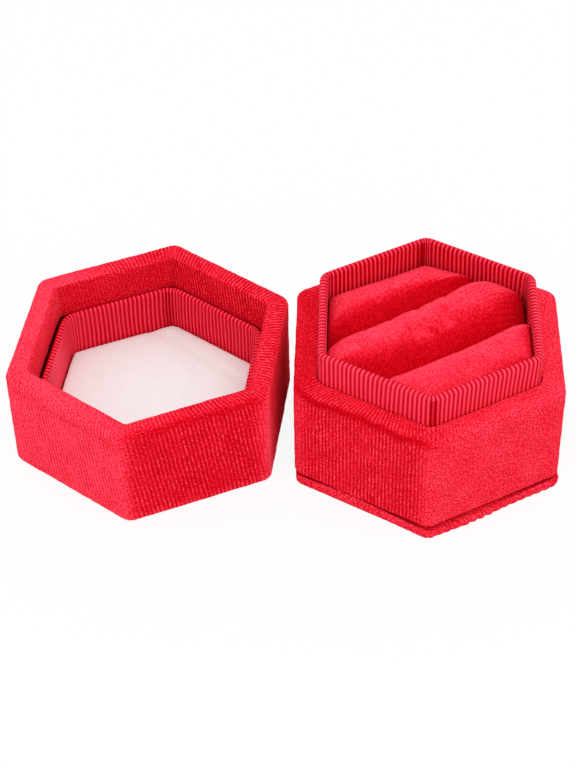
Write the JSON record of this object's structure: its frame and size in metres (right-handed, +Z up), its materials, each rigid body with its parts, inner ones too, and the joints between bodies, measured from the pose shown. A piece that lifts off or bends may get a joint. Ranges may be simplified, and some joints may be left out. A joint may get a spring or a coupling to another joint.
{
  "type": "velvet ring box",
  "caption": "Hexagonal velvet ring box: a base with a ribbon-covered collar and a slotted ring cushion, and a loose lid with a white lining, lying open beside it.",
  "frame": {"origin": "centre of the underside of the base", "axes": "+Z up, +X along the ring slots from corner to corner of the hexagon, +Y to the side where the lid lies"},
  "size_m": [0.1054, 0.0832, 0.0315],
  "materials": {
    "wall_velvet": "short red pile",
    "cushion_velvet": "short red pile",
    "ribbon": "ribbed red ribbon",
    "board": "plain greyboard",
    "foam": "soft foam",
    "satin": "smooth white cloth"
  },
  "bodies": {
    "base": {"base_wall_board": "board", "base_floor_board": "board", "base_wall_velvet": "wall_velvet", "base_bottom_card": "board", "base_bottom_velvet": "wall_velvet", "collar_board": "board", "collar_ribbon": "ribbon"},
    "cushion": {"cushion_card": "board", "roll_foam_front": "foam", "roll_foam_middle": "foam", "roll_foam_rear": "foam", "roll_velvet_front": "cushion_velvet", "roll_velvet_middle": "cushion_velvet", "roll_velvet_rear": "cushion_velvet"},
    "lid": {"lid_wall_board": "board", "lid_top_board": "board", "lid_wall_velvet": "wall_velvet", "lid_top_velvet": "wall_velvet", "lid_frame_board": "board", "lid_frame_ribbon": "ribbon", "lid_lining_card": "board", "lid_lining_wadding": "foam", "lid_lining_satin": "satin"}
  },
  "joints": [
    {"name": "cushion_lift", "type": "slide", "parent": "base", "child": "cushion", "axis": [0, 0, 1], "range_m": [0, 0.008]},
    {"name": "lid_close", "type": "hinge", "parent": "base", "child": "lid", "pos_m": [-0.02317, 0.01499, 0.0241], "axis": [0.5432, 0.8396, 0], "range_deg": [0, 180]}
  ]
}
